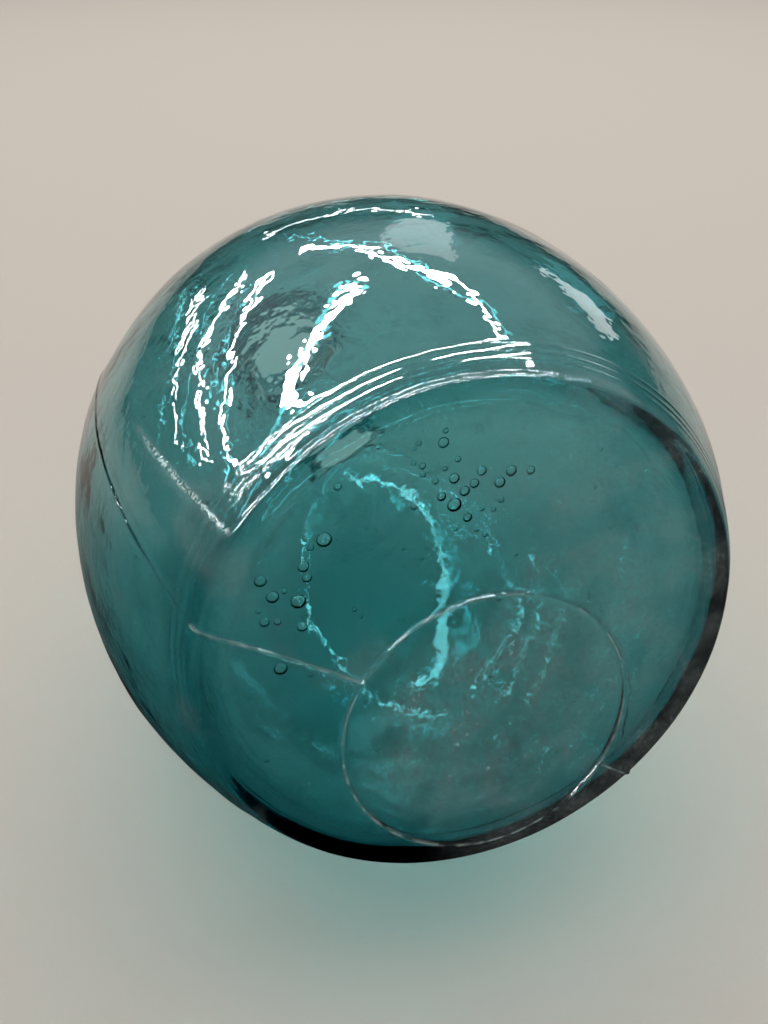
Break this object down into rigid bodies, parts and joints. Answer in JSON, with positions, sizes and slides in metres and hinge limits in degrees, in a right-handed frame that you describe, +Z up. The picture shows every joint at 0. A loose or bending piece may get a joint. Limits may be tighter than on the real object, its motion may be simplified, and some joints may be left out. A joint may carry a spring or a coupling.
{
  "type": "bottle vase",
  "caption": "Round-bellied transparent teal glass vase with a flat recessed base, a wall that draws in to a narrow neck, and a rounded bead lip; holds stems or stands as a display piece.",
  "frame": {"origin": "on the surface the vase stands on, under the middle of its base", "axes": "+Z up along the axis of revolution, from the base to the mouth; +X lies in the plane of the two mould seams"},
  "size_m": [0.242, 0.242, 0.392],
  "materials": {
    "glass": "clear transparent teal glass, glossy, with seed bubbles, a wavy surface, mould seams and light haze"
  },
  "bodies": {
    "root": {"base": "glass", "heel": "glass", "lower_body": "glass", "belly": "glass", "upper_body": "glass", "shoulder": "glass", "neck_root": "glass", "neck": "glass", "lip": "glass"}
  },
  "joints": []
}
